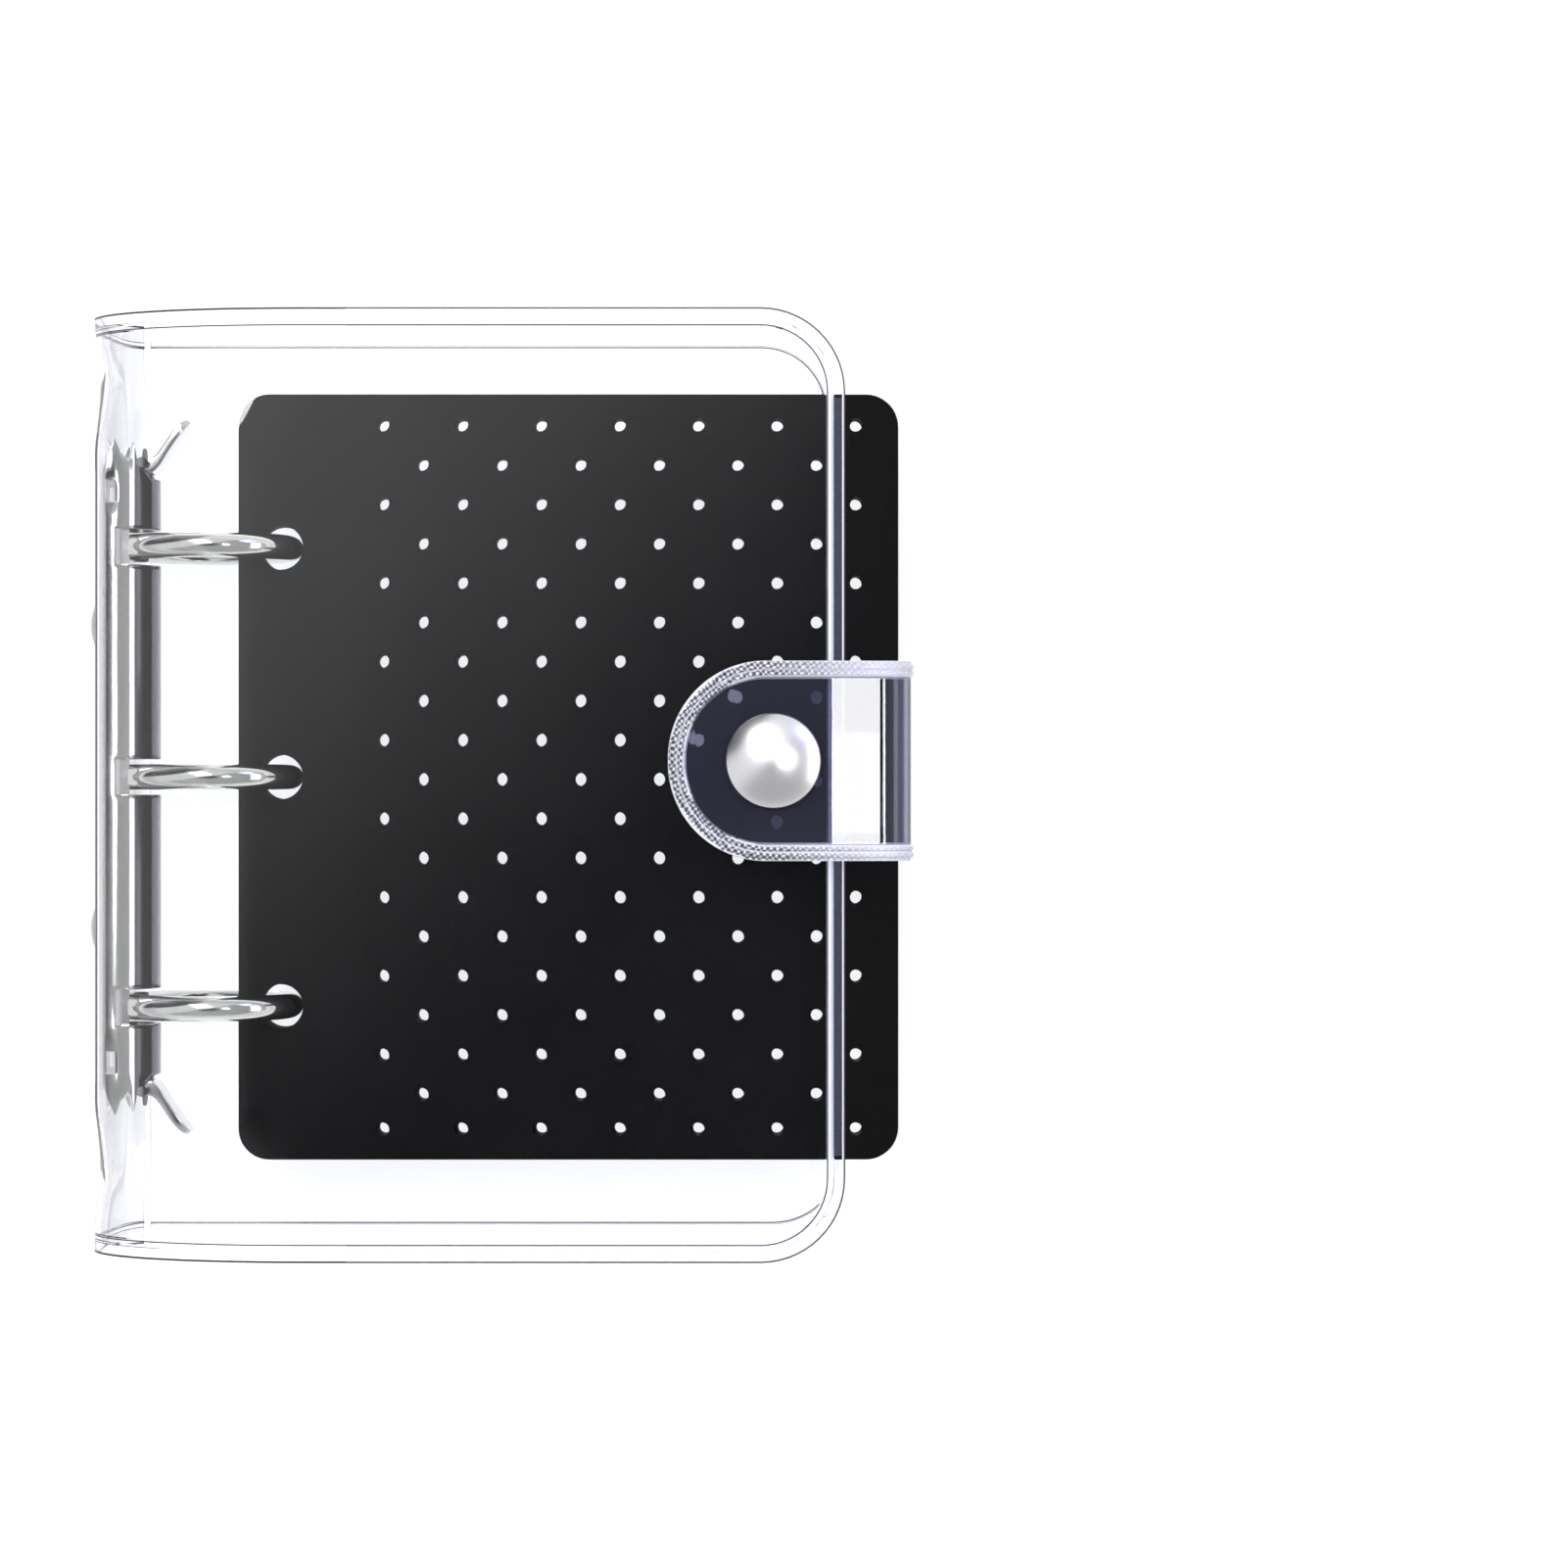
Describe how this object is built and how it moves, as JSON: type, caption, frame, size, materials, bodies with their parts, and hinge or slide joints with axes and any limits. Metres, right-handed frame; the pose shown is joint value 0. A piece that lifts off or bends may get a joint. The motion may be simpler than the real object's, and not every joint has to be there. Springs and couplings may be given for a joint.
{
  "type": "pin storage book",
  "caption": "Clear vinyl ring book for pin badges: punched black pages on a lever ring mechanism, closed by a wrap strap with a snap.",
  "frame": {"origin": "the middle of the back cover's outer face, on which the closed book lies", "axes": "+X from the spine to the open edge, +Y up the cover, +Z out of the front cover"},
  "size_m": [0.1114, 0.1264, 0.0376],
  "materials": {
    "clear_vinyl": "clear soft vinyl sheet, glossy",
    "welded_vinyl": "clear vinyl pressed with a fine hatched weld",
    "nickel_plate": "bright nickel plate",
    "ring_wire": "polished nickel-plated wire",
    "rivet_metal": "plated domed rivet metal",
    "satin_cap": "satin pearl nickel",
    "black_page": "matte black sheet with fine grain"
  },
  "bodies": {
    "spine": {"spine_sheet": "clear_vinyl", "spine_liner": "clear_vinyl", "spine_weld": "welded_vinyl", "ring_shell": "nickel_plate", "lever_pin_upper": "nickel_plate", "lever_pin_lower": "nickel_plate", "rivet_upper": "rivet_metal", "rivet_lower": "rivet_metal"},
    "front_cover": {"front_cover_sheet": "clear_vinyl", "front_cover_liner": "clear_vinyl", "front_cover_weld": "welded_vinyl", "snap_stud": "rivet_metal", "snap_washer": "rivet_metal"},
    "back_cover": {"back_cover_sheet": "clear_vinyl", "back_cover_liner": "clear_vinyl", "back_cover_weld": "welded_vinyl", "strap_tongue": "clear_vinyl"},
    "strap_band": {"strap_band": "clear_vinyl", "strap_band_rim": "welded_vinyl"},
    "strap_flap": {"strap_flap": "clear_vinyl", "strap_flap_rim": "welded_vinyl", "snap_cap": "satin_cap", "snap_socket": "rivet_metal"},
    "ring_front": {"rail_front": "nickel_plate", "ring_front_1": "ring_wire", "ring_front_2": "ring_wire", "ring_front_3": "ring_wire"},
    "ring_back": {"rail_back": "nickel_plate", "ring_back_1": "ring_wire", "ring_back_2": "ring_wire", "ring_back_3": "ring_wire"},
    "lever_upper": {"lever_upper": "nickel_plate"},
    "lever_lower": {"lever_lower": "nickel_plate"},
    "page_1": {"page_1": "black_page"},
    "page_2": {"page_2": "black_page"},
    "page_3": {"page_3": "black_page"},
    "page_4": {"page_4": "black_page"},
    "page_5": {"page_5": "black_page"},
    "page_6": {"page_6": "black_page"}
  },
  "joints": [
    {"name": "front_cover_open", "type": "hinge", "parent": "spine", "child": "front_cover", "pos_m": [-0.04525, 0, 0.02913], "axis": [0, -1, 0], "range_deg": [0, 180], "deforming": ["strap_flap", "strap_flap_rim", "snap_cap", "snap_socket"]},
    {"name": "back_cover_open", "type": "hinge", "parent": "spine", "child": "back_cover", "pos_m": [-0.04625, 0, 0], "axis": [0, 1, 0], "range_deg": [0, 180]},
    {"name": "strap_swing", "type": "hinge", "parent": "back_cover", "child": "strap_band", "pos_m": [0.05586, 0.0032, 0.0011], "axis": [0, 1, 0], "range_deg": [0, 110]},
    {"name": "flap_lift", "type": "hinge", "parent": "strap_band", "child": "strap_flap", "pos_m": [0.05906, 0.0032, 0.0318], "axis": [0, 1, 0], "range_deg": [0, 150]},
    {"name": "lever_upper_press", "type": "hinge", "parent": "spine", "child": "lever_upper", "pos_m": [-0.04425, 0.0435, 0.016], "axis": [0, 0, -1], "range_deg": [-20, 0]},
    {"name": "lever_lower_press", "type": "hinge", "parent": "spine", "child": "lever_lower", "pos_m": [-0.04425, -0.0413, 0.016], "axis": [0, 0, 1], "range_deg": [-20, 0]},
    {"name": "ring_front_open", "type": "hinge", "parent": "spine", "child": "ring_front", "pos_m": [-0.04645, 0.0011, 0.016], "axis": [0, 1, 0], "range_deg": [-10, 0]},
    {"name": "ring_back_open", "type": "hinge", "parent": "spine", "child": "ring_back", "pos_m": [-0.04645, 0.0011, 0.016], "axis": [0, -1, 0], "range_deg": [-10, 0]},
    {"name": "page_1_turn", "type": "hinge", "parent": "spine", "child": "page_1", "pos_m": [-0.03535, 0.0011, 0.016], "axis": [0, -1, 0], "range_deg": [0, 92.01]},
    {"name": "page_2_turn", "type": "hinge", "parent": "spine", "child": "page_2", "pos_m": [-0.03535, 0.0011, 0.016], "axis": [0, -1, 0], "range_deg": [0, 74.61]},
    {"name": "page_3_turn", "type": "hinge", "parent": "spine", "child": "page_3", "pos_m": [-0.03535, 0.0011, 0.016], "axis": [0, -1, 0], "range_deg": [0, 57.21]},
    {"name": "page_4_turn", "type": "hinge", "parent": "spine", "child": "page_4", "pos_m": [-0.03535, 0.0011, 0.016], "axis": [0, -1, 0], "range_deg": [0, 39.81]},
    {"name": "page_5_turn", "type": "hinge", "parent": "spine", "child": "page_5", "pos_m": [-0.03535, 0.0011, 0.016], "axis": [0, -1, 0], "range_deg": [0, 22.41]},
    {"name": "page_6_turn", "type": "hinge", "parent": "spine", "child": "page_6", "pos_m": [-0.03535, 0.0011, 0.016], "axis": [0, -1, 0], "range_deg": [0, 5.01]}
  ],
  "couplings": [
    {"joint": "ring_back_open", "follows": "ring_front_open", "ratio": 1},
    {"joint": "lever_upper_press", "follows": "ring_front_open", "ratio": 2},
    {"joint": "lever_lower_press", "follows": "ring_front_open", "ratio": 2},
    {"joint": "page_1_turn", "follows": "front_cover_open", "ratio": 0.51111},
    {"joint": "page_2_turn", "follows": "front_cover_open", "ratio": 0.41444},
    {"joint": "page_3_turn", "follows": "front_cover_open", "ratio": 0.31778},
    {"joint": "page_4_turn", "follows": "front_cover_open", "ratio": 0.22111},
    {"joint": "page_5_turn", "follows": "front_cover_open", "ratio": 0.12444},
    {"joint": "page_6_turn", "follows": "front_cover_open", "ratio": 0.027778}
  ]
}
